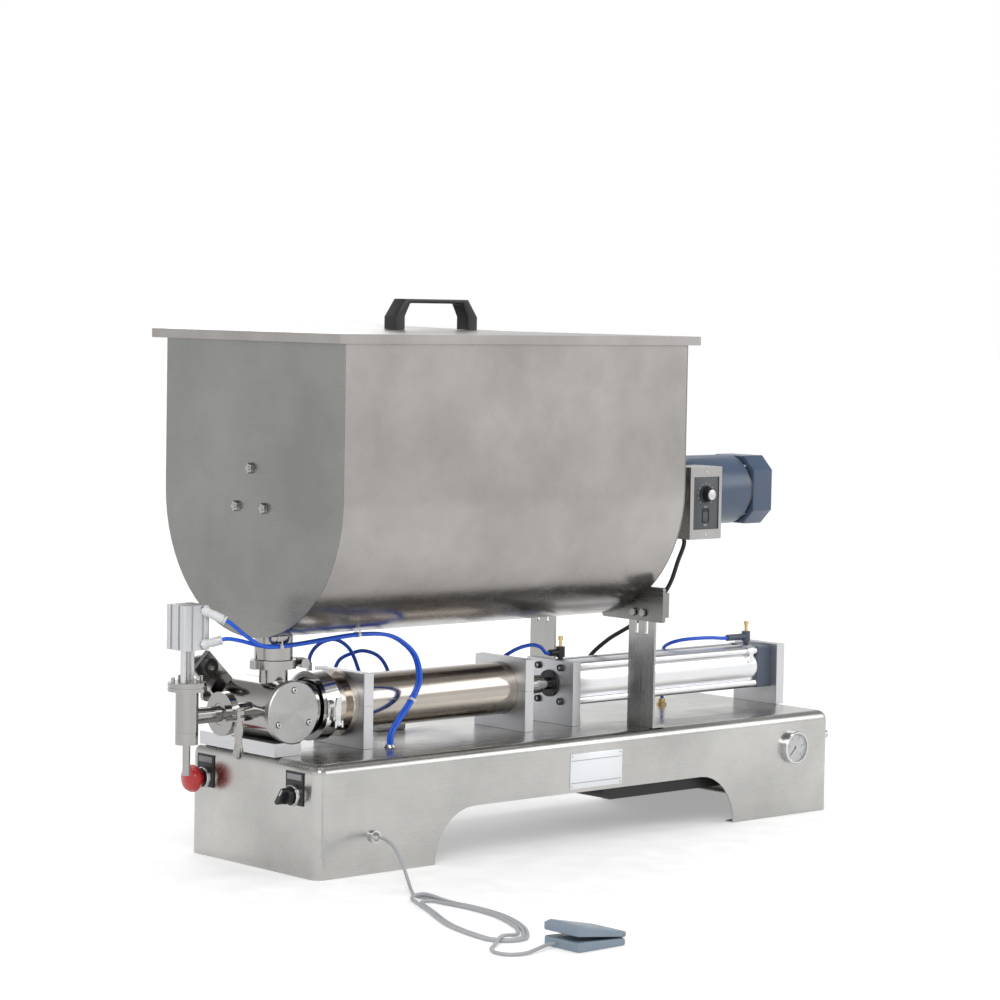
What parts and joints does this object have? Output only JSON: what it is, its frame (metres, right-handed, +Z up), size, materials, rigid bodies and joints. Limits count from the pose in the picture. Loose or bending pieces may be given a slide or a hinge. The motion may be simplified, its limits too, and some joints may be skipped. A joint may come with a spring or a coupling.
{
  "type": "piston paste filling machine",
  "caption": "Bench-top pneumatic piston filler for paste: stirred U-shaped hopper over a rotary valve, paste cylinder, air cylinder and shut-off nozzle, with foot pedal.",
  "frame": {"origin": "on the floor at the middle of the object's box, pedal included", "axes": "+X along the product line from the nozzle to the stirrer's motor, +Z up, -Y towards the pedal and the user"},
  "size_m": [1.271, 0.973, 0.8431],
  "materials": {
    "base_sheet": "brushed stainless sheet",
    "hopper_sheet": "brushed stainless sheet",
    "post_sheet": "brushed stainless sheet",
    "polished_steel": "polished stainless",
    "clamp_steel": "bright polished stainless",
    "cylinder_steel": "polished stainless tube",
    "cast_aluminium": "machined aluminium",
    "barrel_aluminium": "anodised aluminium",
    "cap_paint": "dark blue-grey paint",
    "box_paint": "dark grey paint in a steel frame",
    "black_plastic": "black moulding",
    "red_plastic": "glossy red moulding",
    "blue_hose": "blue polyurethane hose",
    "black_cable": "black cable sheath",
    "grey_cable": "light grey cable sheath",
    "gland_plastic": "grey moulding",
    "motor_paint": "dark blue-grey paint",
    "pedal_paint": "blue-grey paint",
    "gauge_case": "bright steel rim and white dial",
    "needle_black": "black",
    "screw_brass": "brass"
  },
  "bodies": {
    "machine": {"base_cover": "base_sheet", "hopper_trough": "hopper_sheet", "hopper_end_left": "hopper_sheet", "hopper_end_right": "hopper_sheet", "front_post": "post_sheet", "rear_post": "post_sheet", "valve_body": "polished_steel", "valve_front_cover": "polished_steel", "outlet_clamp": "polished_steel", "nozzle_clamp": "polished_steel", "nozzle_body": "polished_steel", "hopper_neck": "polished_steel", "left_bearing": "polished_steel", "motor_mount": "polished_steel", "cylinder_clamp": "clamp_steel", "paste_cylinder": "cylinder_steel", "valve_block": "cast_aluminium", "front_plate_lower": "cast_aluminium", "front_plate_upper": "cast_aluminium", "rear_plate_lower": "cast_aluminium", "rear_plate_upper": "cast_aluminium", "air_front_plate": "cast_aluminium", "air_rear_plate": "cast_aluminium", "actuator_body": "cast_aluminium", "nozzle_cylinder": "cast_aluminium", "air_barrel": "barrel_aluminium", "air_front_cap": "cap_paint", "air_rear_cap": "cap_paint", "control_box": "box_paint", "control_enclosure": "black_plastic", "selector_base": "black_plastic", "estop_base": "black_plastic", "nozzle_hoses": "blue_hose", "valve_hoses": "blue_hose", "rear_flow_hose": "blue_hose", "motor_cable": "black_cable", "cord_lead": "grey_cable", "cord_hank": "grey_cable", "cord_tail": "grey_cable", "cable_gland": "gland_plastic", "gear_motor": "motor_paint", "pedal_base": "pedal_paint", "gauge_case": "gauge_case"},
    "lid": {"hopper_lid": "hopper_sheet", "lid_handle": "black_plastic"},
    "stirrer": {"stirrer": "polished_steel"},
    "piston_train": {"paste_piston": "polished_steel", "air_piston": "polished_steel"},
    "rotor": {"valve_rotor": "polished_steel"},
    "actuator_rod": {"actuator_rod": "polished_steel"},
    "shutoff_rod": {"shutoff_rod": "polished_steel"},
    "estop_button": {"estop_button": "red_plastic"},
    "selector_knob": {"selector_knob": "black_plastic"},
    "gauge_needle": {"gauge_needle": "needle_black"},
    "clamp_lever": {"clamp_lever": "clamp_steel"},
    "flow_screw_front": {"flow_screw_front": "screw_brass"},
    "flow_screw_rear": {"flow_screw_rear": "screw_brass"},
    "speed_knob": {"speed_knob": "black_plastic"},
    "rocker_switch": {"rocker_switch": "black_plastic"},
    "treadle": {"pedal_cover": "pedal_paint"}
  },
  "joints": [
    {"name": "lid_lift", "type": "slide", "parent": "machine", "child": "lid", "axis": [0, 0, 1], "range_m": [0, 0.25]},
    {"name": "stirrer_spin", "type": "hinge", "parent": "machine", "child": "stirrer", "pos_m": [-0.1545, 0.2615, 0.5527], "axis": [1, 0, 0], "continuous": true},
    {"name": "piston_stroke", "type": "slide", "parent": "machine", "child": "piston_train", "axis": [-1, 0, 0], "range_m": [0, 0.24]},
    {"name": "valve_turn", "type": "hinge", "parent": "machine", "child": "rotor", "pos_m": [-0.4485, 0.2615, 0.232], "axis": [0, 1, 0], "range_deg": [0, 90]},
    {"name": "actuator_stroke", "type": "slide", "parent": "machine", "child": "actuator_rod", "axis": [1, 0, 0], "range_m": [0, 0.0637]},
    {"name": "shutoff_stroke", "type": "slide", "parent": "machine", "child": "shutoff_rod", "axis": [0, 0, 1], "range_m": [0, 0.015]},
    {"name": "estop_press", "type": "slide", "parent": "machine", "child": "estop_button", "axis": [1, 0, 0], "range_m": [0, 0.004], "stiffness_N_per_m": 1500, "springref_m": -0.002},
    {"name": "selector_turn", "type": "hinge", "parent": "machine", "child": "selector_knob", "pos_m": [-0.5045, 0.1605, 0.1195], "axis": [1, 0, 0], "range_deg": [0, 90]},
    {"name": "needle_turn", "type": "hinge", "parent": "machine", "child": "gauge_needle", "pos_m": [0.5255, 0.1015, 0.1126], "axis": [0, 1, 0], "range_deg": [0, 270]},
    {"name": "clamp_lever_hinge", "type": "hinge", "parent": "machine", "child": "clamp_lever", "pos_m": [-0.37235, 0.2035, 0.21], "axis": [1, 0, 0], "range_deg": [0, 120]},
    {"name": "front_screw_turn", "type": "hinge", "parent": "machine", "child": "flow_screw_front", "pos_m": [0.13625, 0.2615, 0.28], "axis": [0, 0, 1], "range_deg": [0, 360]},
    {"name": "rear_screw_turn", "type": "hinge", "parent": "machine", "child": "flow_screw_rear", "pos_m": [0.569, 0.2615, 0.28], "axis": [0, 0, 1], "range_deg": [0, 360]},
    {"name": "speed_knob_turn", "type": "hinge", "parent": "machine", "child": "speed_knob", "pos_m": [0.3425, 0.145, 0.5356], "axis": [0, 1, 0], "range_deg": [0, 270]},
    {"name": "rocker_tilt", "type": "hinge", "parent": "machine", "child": "rocker_switch", "pos_m": [0.3425, 0.1495, 0.501], "axis": [1, 0, 0], "range_deg": [-10, 10]},
    {"name": "treadle_hinge", "type": "hinge", "parent": "machine", "child": "treadle", "pos_m": [-0.4475, -0.4535, 0.012], "axis": [0, -1, 0], "range_deg": [0, 3], "stiffness_Nm_per_rad": 5, "springref_deg": -5.73}
  ],
  "couplings": [
    {"joint": "actuator_stroke", "follows": "valve_turn", "m_per_rad": 0.040514}
  ]
}
